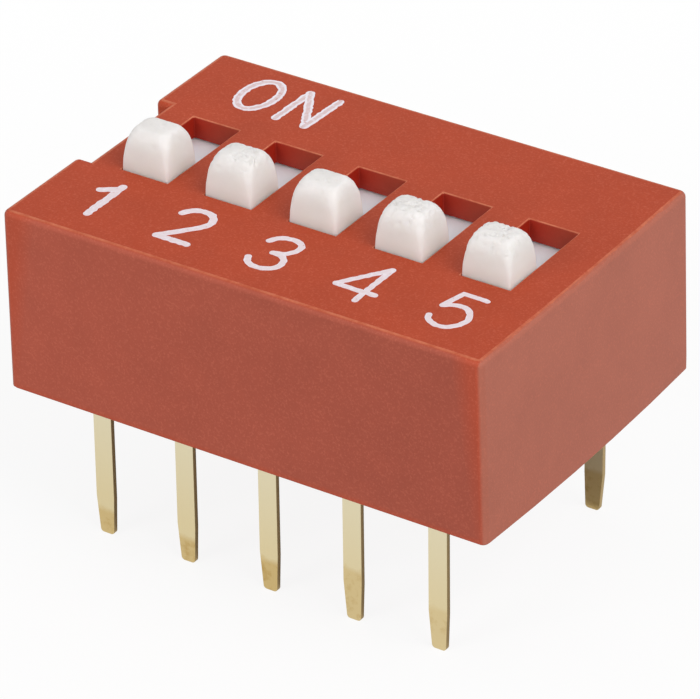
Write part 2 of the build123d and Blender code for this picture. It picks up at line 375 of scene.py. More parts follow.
@dataclass(frozen=True)
class GoldPlate:
    """Thin gold plate over nickel on a stamped brass strip.

    Rolled faces are pale and satin, sheared edges are rough and darker, partly as the rough shear and partly as painted
    shade of the dark surroundings they mirror, and below the tide line near the tip the plate is browner, in blotches.
    Each pin has its own tide line and its own depth of brown.
    """

    name: str = "gold_plated_brass"
    face: str = "#E0D6B6"
    low_face: str = "#DDCDA2"
    tip: str = "#CDB37A"
    stain: str = "#B59454"
    # Darker sheared sides: partly the rough shear, partly painted shade of the dark surroundings they mirror
    sheared_and_shaded: str = "#B49D71"
    roughness: float = 0.34
    sheared_roughness: float = 0.55
    tip_level: float = -4.35 * MM
    tide_reach: float = 2.0 * MM
    tide_wander: float = 0.4 * MM
    tide_blur: float = 0.1 * MM
    fade_top: float = -0.5 * MM
    fade_bottom: float = -3.2 * MM
    stain_size: float = 0.25 * MM
    stain_detail: float = 5.0
    stain_break: float = 0.62
    stain_range: Point = (0.5, 0.68)
    stain_strength: float = 0.75
    # Rolling marks are finer than this, and are drawn as coarse as they need to show
    scratch_width: float = 0.035 * MM
    scratch_stretch: float = 0.03
    scratch_depth: float = 0.0012 * MM

    def make(self) -> Material:
        """Makes the finish from nodes.

        Returns:
            The finished material.
        """
        material, tree, place = new_material(self.name)
        # Sheared sides are darker, partly as painted shade
        edge = add_node(tree, "ShaderNodeAttribute", output="Fac", attribute_name="sheared_and_shaded")
        rolled = self.stained(tree, place)
        colour = add_node(tree, "ShaderNodeMix", {FACTOR: edge, A: rolled, B: self.sheared_and_shaded}, **COLOUR_MIX)
        gloss = add_node(tree, "ShaderNodeMapRange", (edge, 0.0, 1.0, self.roughness, self.sheared_roughness))
        # Rolling and drawing marks run along the strip
        along = add_node(tree, "ShaderNodeMapping", {"Vector": place, "Scale": (1.0, 1.0, self.scratch_stretch)})
        scratch = add_node(tree, "ShaderNodeTexNoise", {"Vector": along, "Scale": per_size(self.scratch_width), **FINE})
        relief = add_node(tree, "ShaderNodeBump", {"Height": scratch, "Strength": 1.0, "Distance": self.scratch_depth})
        look = {"Base Color": colour, "Metallic": 1.0, "Roughness": gloss, "Normal": relief}
        shader = add_node(tree, "ShaderNodeBsdfPrincipled", look)
        add_node(tree, "ShaderNodeOutputMaterial", {"Surface": shader})
        return material

    def stained(self, tree: Tree, place: Socket) -> Socket:
        """Colours the rolled faces from the shoulder down to the stained tip.

        Args:
            tree: The material's tree.
            place: The place in the switch's own axes.

        Returns:
            The colour.
        """
        height = add_node(tree, "ShaderNodeSeparateXYZ", (place,), "Z")
        tide = add_node(tree, "ShaderNodeAttribute", output="Fac", attribute_name="tide")
        brown = add_node(tree, "ShaderNodeAttribute", output="Fac", attribute_name="brown")
        pattern = {"Vector": place, "Scale": per_size(self.stain_size)}
        pattern |= {"Detail": self.stain_detail, "Roughness": self.stain_break}
        blotch = add_node(tree, "ShaderNodeTexNoise", pattern)
        fade = add_node(tree, "ShaderNodeMapRange", (height, self.fade_top, self.fade_bottom))
        faded = add_node(tree, "ShaderNodeMix", {FACTOR: fade, A: self.face, B: self.low_face}, **COLOUR_MIX)
        # The tide line wanders with the blotches
        wander = add_node(tree, "ShaderNodeMath", (blotch, self.tide_wander, height), operation="MULTIPLY_ADD")
        rise = add_node(tree, "ShaderNodeMath", (tide, -self.tide_reach, wander), operation="MULTIPLY_ADD")
        line = self.tip_level + self.tide_wander / 2
        dipped = add_node(tree, "ShaderNodeMapRange", (rise, line + self.tide_blur, line - self.tide_blur))
        below = add_node(tree, "ShaderNodeMath", (dipped, brown), operation="MULTIPLY")
        tipped = add_node(tree, "ShaderNodeMix", {FACTOR: below, A: faded, B: self.tip}, **COLOUR_MIX)
        dark = add_node(tree, "ShaderNodeMapRange", (blotch, *self.stain_range, 0.0, self.stain_strength))
        dark_tip = add_node(tree, "ShaderNodeMath", (dark, below), operation="MULTIPLY")
        return add_node(tree, "ShaderNodeMix", {FACTOR: dark_tip, A: tipped, B: self.stain}, **COLOUR_MIX)


@dataclass(frozen=True)
class SpringGold:
    """Bright gold over a formed copper alloy spring: warm, with faint forming streaks across the strip."""

    name: str = "gold_plated_spring_alloy"
    bright: str = "#DDBB72"
    dull: str = "#BE9A55"
    roughness: float = 0.24
    streak_width: float = 0.05 * MM
    streak_stretch: float = 0.1

    def make(self) -> Material:
        """Makes the finish from nodes.

        Returns:
            The finished material.
        """
        material, tree, place = new_material(self.name)
        across = add_node(tree, "ShaderNodeMapping", {"Vector": place, "Scale": (self.streak_stretch, 1.0, 1.0)})
        streak = add_node(tree, "ShaderNodeTexNoise", {"Vector": across, "Scale": per_size(self.streak_width), **FINE})
        colour = add_node(tree, "ShaderNodeMix", {FACTOR: streak, A: self.bright, B: self.dull}, **COLOUR_MIX)
        look = {"Base Color": colour, "Metallic": 1.0, "Roughness": self.roughness}
        shader = add_node(tree, "ShaderNodeBsdfPrincipled", look)
        add_node(tree, "ShaderNodeOutputMaterial", {"Surface": shader})
        return material


@dataclass(frozen=True)
class PadPrintInk:
    """White two-part ink laid on by a soft pad.

    It is chalky and squeezed thin along the middle of a stroke, and the red shows through where it was rubbed.
    """

    name: str
    rub: float
    middle: float
    solid: str = "#EFEBF4"
    thin: str = "#D6B7B6"
    bare: str = "#BE5A40"
    ior: float = 1.5
    roughness: float = 0.6
    patch_size: float = 0.11 * MM
    edge: float = 0.12
    edge_thin: float = 0.15
    thin_range: Point = (0.28, 0.5)
    thin_least: float = 0.35
    bare_range: Point = (0.66, 0.74)

    def make(self) -> Material:
        """Makes the finish from nodes.

        Returns:
            The finished material.
        """
        material, tree, place = new_material(self.name)
        sheet = add_node(tree, "ShaderNodeUVMap", output="UV", uv_map="stroke")
        across = add_node(tree, "ShaderNodeSeparateXYZ", (sheet,), "Y")
        aside = add_node(tree, "ShaderNodeMath", (across, 0.5), operation="SUBTRACT")
        from_middle = add_node(tree, "ShaderNodeMath", (aside,), operation="ABSOLUTE")
        squeeze = (from_middle, self.middle - self.edge, self.middle, 1.0, self.edge_thin)
        squeezed = add_node(tree, "ShaderNodeMapRange", squeeze)
        patch = add_node(tree, "ShaderNodeTexNoise", {"Vector": place, "Scale": per_size(self.patch_size), **FINE})
        patched = (patch, *self.thin_range, self.thin_least * self.rub, self.rub)
        patch_mask = add_node(tree, "ShaderNodeMapRange", patched)
        thin_mask = add_node(tree, "ShaderNodeMath", (patch_mask, squeezed), operation="MULTIPLY")
        thinned = add_node(tree, "ShaderNodeMix", {FACTOR: thin_mask, A: self.solid, B: self.thin}, **COLOUR_MIX)
        bare_mask = add_node(tree, "ShaderNodeMapRange", (patch, *self.bare_range, 0.0, self.rub))
        colour = add_node(tree, "ShaderNodeMix", {FACTOR: bare_mask, A: thinned, B: self.bare}, **COLOUR_MIX)
        look = {"Base Color": colour, "Roughness": self.roughness, "IOR": self.ior}
        shader = add_node(tree, "ShaderNodeBsdfPrincipled", look)
        add_node(tree, "ShaderNodeOutputMaterial", {"Surface": shader})
        return material


@dataclass(frozen=True)
class PaperSweep:
    """Matt white studio paper. It keeps a faint shadow near the object and is pure white further off.

    What it throws back as soft light is dimmer, as from a small sheet in a dark room, and a strip under the switch is
    painted darker still: painted shade, which the pins mirror and which dims the light thrown back there.
    """

    name: str = "white_studio_paper"
    paper: str = "#F4F4F4"
    bounced: str = "#CBCBCB"
    # Painted shade: the paper under the switch, as mirrored in the pins and as it throws light back
    painted_shade_under_switch: str = "#B8B8B8"
    glow_near: float = 0.88
    near: float = 14.0 * MM
    far: float = 34.0 * MM
    painted_shade_end: float = 3.5 * MM
    open_start: float = 3.9 * MM

    def make(self) -> Material:
        """Makes the finish from nodes.

        Returns:
            The finished material.
        """
        material, tree, place = new_material(self.name)
        distance = add_node(tree, "ShaderNodeVectorMath", (place,), "Value", operation="LENGTH")
        glow = add_node(tree, "ShaderNodeMapRange", (distance, self.near, self.far, self.glow_near, 1.0))
        depth = add_node(tree, "ShaderNodeSeparateXYZ", (place,), "Y")
        from_middle = add_node(tree, "ShaderNodeMath", (depth,), operation="ABSOLUTE")
        # A strip under the switch is painted darker for mirror and soft light rays, as painted shade
        in_open = add_node(tree, "ShaderNodeMapRange", (from_middle, self.painted_shade_end, self.open_start))
        camera_ray = add_node(tree, "ShaderNodeLightPath", output="Is Camera Ray")
        lit = add_node(tree, "ShaderNodeMath", (in_open, camera_ray), operation="MAXIMUM")
        # The pins mirror the white paper too, and the painted shade under the switch with it
        seen = seen_directly(tree)
        shown = add_node(tree, "ShaderNodeMath", (seen, lit), operation="MULTIPLY")
        share = add_node(tree, "ShaderNodeMath", (glow, shown), operation="MULTIPLY")
        open_tone = add_node(tree, "ShaderNodeMix", {FACTOR: seen, A: self.bounced, B: self.paper}, **COLOUR_MIX)
        tone = add_node(tree, "ShaderNodeMix", {FACTOR: lit, A: self.painted_shade_under_switch, B: open_tone}, **COLOUR_MIX)
        matt = add_node(tree, "ShaderNodeBsdfDiffuse", {"Color": tone})
        white = add_node(tree, "ShaderNodeEmission", {"Strength": 1.0})
        upper = add_node(tree, "ShaderNodeMixShader", (share, matt, white))
        # From below the paper is clear, so that the underside of the switch can be looked at
        clear = add_node(tree, "ShaderNodeBsdfTransparent")
        side = add_node(tree, "ShaderNodeNewGeometry", output="Backfacing")
        both = add_node(tree, "ShaderNodeMixShader", (side, upper, clear))
        add_node(tree, "ShaderNodeOutputMaterial", {"Surface": both})
        return material


def seen_directly(tree: Tree) -> Socket:
    """Adds the test for rays that show the background: straight, mirrored or through glass.

    Args:
        tree: The tree that takes the nodes.

    Returns:
        A socket that is one for such rays and zero for the rest.
    """
    camera_ray = add_node(tree, "ShaderNodeLightPath", output="Is Camera Ray")
    path = camera_ray.node.outputs
    mirrored = add_node(tree, "ShaderNodeMath", (camera_ray, path["Is Glossy Ray"]), operation="MAXIMUM")
    return add_node(tree, "ShaderNodeMath", (mirrored, path["Is Transmission Ray"]), operation="MAXIMUM")


def welded_solid(node: str) -> Solid:
    """Copies a CAD node's faces into a new solid whose flat faces are whole again.

    Args:
        node: The CAD node's name.

    Returns:
        The solid, which the caller frees.
    """
    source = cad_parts[node].data
    solid = bmesh.new()
    for name in MARKS:
        solid.faces.layers.float.new(name)
    corners = [solid.verts.new(vertex.co) for vertex in source.vertices]
    for face in source.polygons:
        solid.faces.new([corners[i] for i in face.vertices])
    bmesh.ops.remove_doubles(solid, verts=solid.verts, dist=WELD)
    bmesh.ops.dissolve_limit(solid, angle_limit=FLAT_ANGLE, verts=solid.verts, edges=solid.edges)
    solid.normal_update()
    return solid


def sharp_edges(solid: Solid, wanted: Callable[[Edge], bool]) -> list[Edge]:
    """Finds the edges where a solid turns sharply.

    Args:
        solid: The solid.
        wanted: A further test that an edge has to pass.

    Returns:
        The edges.
    """
    return [e for e in solid.edges if len(e.link_faces) == 2 and e.calc_face_angle() > SHARP_ANGLE and wanted(e)]


def round_over(solid: Solid, edges: Sequence[Edge], radius: float, steps: int) -> list[Face]:
    """Rounds some edges of a solid.

    Args:
        solid: The solid.
        edges: The edges to round.
        radius: How far the rounding reaches from each edge.
        steps: The number of facets across it.

    Returns:
        The faces of the rounding.
    """
    made = bmesh.ops.bevel(
        solid, geom=edges, offset=radius, segments=steps, profile=0.5, affect="EDGES", clamp_overlap=True
    )
    solid.normal_update()
    return made["faces"]


def mark(
    solid: Solid, name: str, faces: Iterable[Face], strength: Callable[[Vector], float] = lambda normal: 1.0
) -> None:
    """Marks faces with a value that a material reads by the mark's name.

    Args:
        solid: The solid.
        name: The mark's name.
        faces: The faces that get it.
        strength: The value for a face, from the way it faces. It is held between zero and one.
    """
    layer = solid.faces.layers.float[name]
    for face in faces:
        face[layer] = max(0.0, min(1.0, strength(face.normal)))


def place_solid(solid: Solid, name: str, body: str) -> Piece:
    """Turns a solid into a shaded piece that rides on a CAD body.

    Args:
        solid: The solid, which is freed.
        name: The piece's name.
        body: The CAD body's name.

    Returns:
        The piece.
    """
    mesh = bpy.data.meshes.new(name)
    bmesh.ops.recalc_face_normals(solid, faces=solid.faces)
    solid.to_mesh(mesh)
    solid.free()
    mesh.shade_smooth()
    mesh.set_sharp_from_angle(angle=SHARP_ANGLE)
    piece = bpy.data.objects.new(name, mesh)
    bpy.context.scene.collection.objects.link(piece)
    even = piece.modifiers.new("even_flats", "WEIGHTED_NORMAL")
    even.keep_sharp = True
    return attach(piece, body)


class Dressed:
    """A sub-assembly whose pieces share a material and a slot of the record."""

    slot: ClassVar[str]

    def dress(self, piece: Piece, material: Material) -> None:
        """Gives a piece its material.

        Args:
            piece: The piece.
            material: Its material.
        """
        piece.data.materials.clear()
        piece.data.materials.append(material)


@dataclass
class Cover(Dressed):
    """The red shell: a copy of the solid with its slot rims and outer edges broken as a moulding's are."""

    slot: ClassVar[str] = "red_plastic"
    rim_radius: float = 0.032 * MM
    rim_steps: int = 3
    level_slack: float = 0.005 * MM
    wall: float = 0.9 * MM
    notch_depth: float = 0.5 * MM
    notch_half: float = 1.9 * MM
    notch_turn: float = 0.5
    upright: float = 0.9
    side_sheen_turn: Point = (0.35, 0.65)
    end_sheen_turn: Point = (0.3, 0.6)
    flat_turn: float = 0.999
    rub_turn: Point = (0.85, 1.0)
    rub_most: float = 0.65
    rim_shade_turn: Point = (0.6, 0.2)
    rim_rub_turn: Point = (0.2, 0.6)
    rim_rub_most: float = 0.85

    def build(self) -> Piece:
        """Builds the shell.

        Returns:
            The shell, which stands for the CAD cover.
        """
        solid = welded_solid("cover")
        low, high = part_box("cover")
        inside = self.inner_faces(solid, low, high)
        notch = low.x + self.notch_depth
        outside = [f for f in solid.faces if f not in inside and not self.in_notch(f, notch)]
        # Slot and inside walls are polished, and are painted with the slots' shade
        mark(solid, "polished_and_shaded", inside)
        # Each wall's painted sheen sets in where the rounded edge has turned most of the way to it
        mark(solid, "side_sheen", outside, lambda normal: ramp(abs(normal.y), *self.side_sheen_turn))
        mark(solid, "end_sheen", outside, lambda normal: ramp(abs(normal.x), *self.end_sheen_turn))
        # Edges turning down from the top are rubbed paler: partly wear, partly a painted highlight
        mark(solid, "rubbed", outside, self.rub)
        rims = sharp_edges(solid, lambda e: self.is_rim(e, high.z))
        rounded = round_over(solid, rims, self.rim_radius, self.rim_steps)
        # Down-turned facets of the slot rims take the slots' painted shade, and up-turned ones the paler rubbed colour,
        # partly wear and partly a painted highlight
        mark(solid, "polished_and_shaded", rounded, lambda normal: ramp(normal.z, *self.rim_shade_turn))
        mark(solid, "rubbed", rounded, lambda normal: min(self.rim_rub_most, ramp(normal.z, *self.rim_rub_turn)))
        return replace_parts(place_solid(solid, "cover_shell", "housing"), "cover")

    def is_rim(self, edge: Edge, top: float) -> bool:
        """Tells whether an edge is part of a slot's rim or an upright corner below it.

        Args:
            edge: A sharp edge of the cover.
            top: The level of the cover's top.

        Returns:
            Whether it is.
        """
        low, high = sorted(v.co.z for v in edge.verts)
        level = top - self.level_slack
        return high > level and (low > level or high - low > self.upright * edge.calc_length())

    def in_notch(self, face: Face, depth: float) -> bool:
        """Tells whether a face lies in the notch, whose walls are matt like the top.

        Args:
            face: A face of the cover.
            depth: The place along X where the notch ends.

        Returns:
            Whether it does.
        """
        centre = face.calc_center_median()
        return centre.x < depth and abs(centre.y) < self.notch_half and abs(face.normal.x) < self.notch_turn

    def rub(self, normal: Vector) -> float:
        """Returns how far handling rubbed a face: most where an edge starts to turn down from the top."""
        # The paler colour is partly wear and partly a painted highlight on the edge
        return 0.0 if normal.z > self.flat_turn else min(self.rub_most, ramp(normal.z, *self.rub_turn))

    def inner_faces(self, solid: Solid, low: Vector, high: Vector) -> list[Face]:
        """Finds the walls of the slots and of the inside.

        Args:
            solid: The cover's solid.
            low: Its lowest corner.
            high: Its highest corner.

        Returns:
            The faces that lie well inside the cover's outline, between its rim and its top.
        """
        found = []
        for face in solid.faces:
            centre = face.calc_center_median()
            inside = low.x + self.wall < centre.x < high.x - self.wall and abs(centre.y) < high.y - self.wall
            if inside and low.z + self.level_slack < centre.z < high.z - self.level_slack:
                found.append(face)
        return found


@dataclass
class Base(Dressed):
    """The plate under the cover: a copy of the solid with its edges broken."""

    slot: ClassVar[str] = "red_plastic"
    edge_radius: float = 0.02 * MM
    edge_steps: int = 2

    def build(self) -> Piece:
        """Builds the plate.

        Returns:
            The plate, which stands for the CAD base.
        """
        solid = welded_solid("base")
        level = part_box("base")[0].z + self.edge_radius
        under = sharp_edges(solid, lambda e: all(v.co.z < level for v in e.verts))
        # The rounded underside edges are polished and take the painted shade of the slots
        mark(solid, "polished_and_shaded", round_over(solid, under, self.edge_radius, self.edge_steps))
        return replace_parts(place_solid(solid, "base_plate", "housing"), "base")


@dataclass
class Key(Dressed):
    """A white slide key: the CAD plate and keel, with a knob whose crown is rounded and uneven."""

    slot: ClassVar[str] = "white_plastic"
    number: int
    top: KnobTop
    neck_cut: float = 0.25 * MM
    foot_radius: float = 0.05 * MM
    top_radius: float = 0.24 * MM
    crown: float = 0.6 * MM
    side_inset: float = 0.18 * MM
    end_inset: float = 0.28 * MM
    lean: float = 0.065 * MM
    lean_start: float = 0.3 * MM
    dome: float = 0.012 * MM
    corner_steps: int = 8
    edge_steps: int = 20
    side_steps: int = 14
    crown_steps: int = 16
    cap_steps: int = 10
    chip_size: float = 0.17 * MM
    chip_start: float = 0.3
    chip_spread: float = 2.5
    chip_most: float = 1.2
    fine_chips: float = 0.4
    fine_rate: float = 2.1
    wave_size: float = 0.5 * MM
    wave_depth: float = 0.008 * MM
    wave_rise: float = 4.0
    noise_step: float = 7.0

    def build(self) -> Piece:
        """Builds the key.

        Returns:
            The key, which stands for the CAD actuator.
        """
        node = f"actuator_{self.number}"
        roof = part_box("cover")[1].z
        cut = roof - self.neck_cut
        solid = welded_solid(node)
        geometry = [*solid.verts, *solid.edges, *solid.faces]
        bmesh.ops.bisect_plane(solid, geom=geometry, plane_co=(0, 0, cut), plane_no=(0, 0, 1), clear_outer=True)
        neck = [e for e in solid.edges if len(e.link_faces) == 1]
        corners = [v.co for e in neck for v in e.verts]
        low = Vector(map(min, *corners))
        high = Vector(map(max, *corners))
        first, rings = self.loft(solid, low, high, roof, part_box(node)[1].z)
        bmesh.ops.bridge_loops(solid, edges=[*neck, *first])
        LOG.info("key %d: %d rings in the knob", self.number, rings)
        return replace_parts(place_solid(solid, f"key_{self.number}_moulding", f"key_{self.number}"), node)

    def sections(self, roof: float, top: float) -> list[tuple[float, float, float]]:
        """Lists the knob's sections from its neck to the rim of its cap.

        Args:
            roof: The level of the cover's top.
            top: The level of the knob's top.

        Returns:
            Level, share of the crown's inset and corner radius of each section.
        """
        shoulder = top - self.crown
        heights = [(roof - self.neck_cut / 2, 0.0)]
        heights.extend((roof + step / self.side_steps * (shoulder - roof), 0.0) for step in range(self.side_steps + 1))
        for step in range(1, self.crown_steps + 1):
            turn = step / self.crown_steps * math.pi / 2
            heights.append((shoulder + (self.crown - self.dome) * math.sin(turn), 1 - math.cos(turn)))
        # The upright edges grow softer towards the top
        soft = (self.top_radius - self.foot_radius) / (top - roof)
        return [(level, share, self.foot_radius + soft * max(0.0, level - roof)) for level, share in heights]

    def loft(self, solid: Solid, low: Vector, high: Vector, roof: float, top: float) -> tuple[list[Edge], int]:
        """Adds the knob above the neck, as rings of points that close in a domed cap.

        Args:
            solid: The key's solid, open at the neck.
            low: The lowest corner of the neck's outline.
            high: Its highest corner.
            roof: The level of the cover's top.
            top: The level of the knob's top.

        Returns:
            The edges of the lowest ring, and the number of rings.
        """
        centre = (low + high) / 2
        rings = []
        for level, share, radius in self.sections(roof, top):
            # The sides lean in a little before the crown rounds over
            lean = self.lean * max(0.0, ramp(level, roof + self.lean_start, top))
            width = high.x - low.x - 2 * (self.side_inset * share + lean)
            length = high.y - low.y - 2 * (self.end_inset * share + lean)
            outline = self.outline(width, length, radius)
            rings.append([Vector((centre.x + x, centre.y + y, level)) for x, y in outline])
        rim = rings[-1]
        for step in range(1, self.cap_steps):
            share = 1 - step / self.cap_steps
            lift = self.dome * (1 - share**2)
            ring = [(centre.x + (p.x - centre.x) * share, centre.y + (p.y - centre.y) * share, p.z) for p in rim]
            rings.append([Vector((x, y, z + lift)) for x, y, z in ring])
        made = [[solid.verts.new(self.weathered(p, centre, roof, top)) for p in ring] for ring in rings]
        crest = solid.verts.new(self.weathered(Vector((centre.x, centre.y, top)), centre, roof, top))
        count = len(rim)
        for lower, upper in zip(made, made[1:]):
            for i in range(count):
                j = (i + 1) % count
                solid.faces.new((lower[i], lower[j], upper[j], upper[i]))
        for i in range(count):
            solid.faces.new((made[-1][i], made[-1][(i + 1) % count], crest))
        first = [solid.edges.get((made[0][i], made[0][(i + 1) % count])) for i in range(count)]
        return first, len(made)

    def outline(self, width: float, length: float, radius: float) -> list[Point]:
        """Draws a rectangle with round corners, with the same number of points whatever its size.

        Args:
            width: Its size along X.
            length: Its size along Y.
            radius: The radius of its corners.

        Returns:
            Its points, anticlockwise from the right end of its front side.
        """
        points = []
        for quarter in range(4):
            sign_x, sign_y = ((1, -1), (1, 1), (-1, 1), (-1, -1))[quarter]
            middle_x = sign_x * (width / 2 - radius)
            middle_y = sign_y * (length / 2 - radius)
            for step in range(self.corner_steps + 1):
                angle = (quarter - 1 + step / self.corner_steps) * math.pi / 2
                points.append((middle_x + radius * math.cos(angle), middle_y + radius * math.sin(angle)))
            end_x, end_y = points[-1]
            reach = (length if quarter % 2 == 0 else width) - 2 * radius
            direction = ((0, 1), (-1, 0), (0, -1), (1, 0))[quarter]
            for step in range(1, self.edge_steps):
                run = reach * step / self.edge_steps
                points.append((end_x + direction[0] * run, end_y + direction[1] * run))
        return points

    def weathered(self, point: Vector, centre: Vector, roof: float, top: float) -> Vector:
        """Moves a point of the knob by the waves of its sides and the chips of its crown.

        Args:
            point: The point of the even knob.
            centre: The middle of the knob in plan.
            roof: The level of the cover's top, below which nothing moves.
            top: The level of the knob's top, above which nothing goes.

        Returns:
            The point of the real knob.
        """
        if point.z <= roof:
            return point
        share = (point.z - roof) / (top - roof)
        shift = Vector((self.noise_step * self.number, 0.0, 0.0))
        wave = noise.noise(point / self.wave_size + shift) * self.wave_depth * min(1.0, self.wave_rise * share)
        fine = noise.noise(self.fine_rate * point / self.chip_size - shift)
        rough = noise.noise(point / self.chip_size + shift) + self.fine_chips * fine
        pit = min(self.chip_most, self.chip_spread * rough**2)
        chip = -pit * self.top.value * max(0.0, ramp(share, self.chip_start, 1.0)) ** 2
        outward = Vector((point.x - centre.x, point.y - centre.y, (point.z - roof) * share**3))
        moved = point + outward.normalized() * (wave + chip)
        moved.z = min(moved.z, top)
        return moved


@dataclass(frozen=True)
class Stain:
    """The stain of a pin's tip: how high it reaches, as a share of the highest, and how brown it is."""

    tide: float
    brown: float


FRONT_STAINS = (Stain(0.36, 0.85), Stain(0.36, 0.85), Stain(0.45, 1.0), Stain(0.75, 0.6), Stain(0.6, 0.4))
BACK_STAIN = Stain(0.6, 0.9)


@dataclass
class Terminal(Dressed):
    """A stamped pin: a copy of the solid with its edges rolled over a little, and its sheared sides marked."""

    slot: ClassVar[str] = "plated_metal"
    row: Row
    number: int
    stain: Stain
    edge_radius: float = 0.022 * MM
    edge_steps: int = 2
    side_turn: float = 0.8

    def build(self) -> Piece:
        """Builds the pin.

        Returns:
            The pin, which stands for the CAD terminal.
        """
        node = f"terminal_{self.row.value}_{self.number}"
        solid = welded_solid(node)
        round_over(solid, sharp_edges(solid, lambda e: True), self.edge_radius, self.edge_steps)
        # The sheared sides get a darker colour that is partly painted shade
        mark(solid, "sheared_and_shaded", [f for f in solid.faces if abs(f.normal.x) > self.side_turn])
        mark(solid, "tide", solid.faces, lambda normal: self.stain.tide)
        mark(solid, "brown", solid.faces, lambda normal: self.stain.brown)
        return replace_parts(place_solid(solid, f"pin_{self.row.value}_{self.number}", "housing"), node)


@dataclass
class Contact(Dressed):
    """A sprung contact under a key. The CAD solid has its true form, so it only gets its metal."""

    slot: ClassVar[str] = "contact_metal"
    number: int

    def build(self) -> Piece:
        """Returns the CAD node."""
        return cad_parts[f"contact_{self.number}"]


@dataclass(frozen=True)
class Stroke:
    """One pen stroke of a printed sign, with points in shares of the sign's width and height."""

    points: tuple[Point, ...]
    curved: bool = False
    end: StrokeEnd = StrokeEnd.ROUND


def ring_stroke(count: int) -> Stroke:
    """Draws the closed oval of a letter O.

    Args:
        count: The number of points round it.

    Returns:
        The stroke.
    """
    turns = [2 * math.pi * i / count for i in range(count)]
    return Stroke(tuple((math.cos(t) / 2, (1 + math.sin(t)) / 2) for t in turns), True, StrokeEnd.CLOSED)


SIGNS: dict[str, tuple[Stroke, ...]] = {
    "1": (Stroke(((0.14, -0.02), (0.14, 0.98))), Stroke(((-0.31, 0.72), (0.10, 0.88)))),
    "2": (
        Stroke(((-0.50, 0.79), (-0.33, 0.94), (-0.04, 1.0), (0.29, 0.95), (0.46, 0.77), (0.33, 0.54), (-0.43, 0.0)),
               True),
        Stroke(((-0.43, 0.0), (0.54, 0.0))),
    ),
    "3": (
        Stroke(((-0.50, 0.78), (-0.32, 0.94), (0.03, 1.0), (0.36, 0.92), (0.43, 0.75), (0.24, 0.57), (-0.07, 0.50)),
               True),
        Stroke(((-0.07, 0.50), (0.28, 0.46), (0.45, 0.27), (0.34, 0.08), (-0.02, -0.01), (-0.36, 0.05), (-0.51, 0.2)),
               True),
    ),
    "4": (
        Stroke(((0.29, -0.06), (0.30, 1.02))),
        Stroke(((0.30, 1.02), (-0.60, 0.235))),
        Stroke(((-0.59, 0.22), (0.60, 0.22))),
    ),
    "5": (
        Stroke(((0.47, 0.98), (-0.25, 0.99), (-0.43, 0.53))),
        Stroke(((-0.43, 0.53), (-0.06, 0.64), (0.30, 0.59), (0.53, 0.33), (0.34, 0.05), (-0.03, -0.03), (-0.35, 0.05),
                (-0.47, 0.18)), True),
    ),
    "O": (ring_stroke(count=12),),
    "N": (
        Stroke(((-0.51, 0.0), (-0.45, 0.99))),
        Stroke(((-0.44, 0.98), (0.42, 0.02))),
        Stroke(((0.43, 0.0), (0.51, 1.0))),
    ),
}


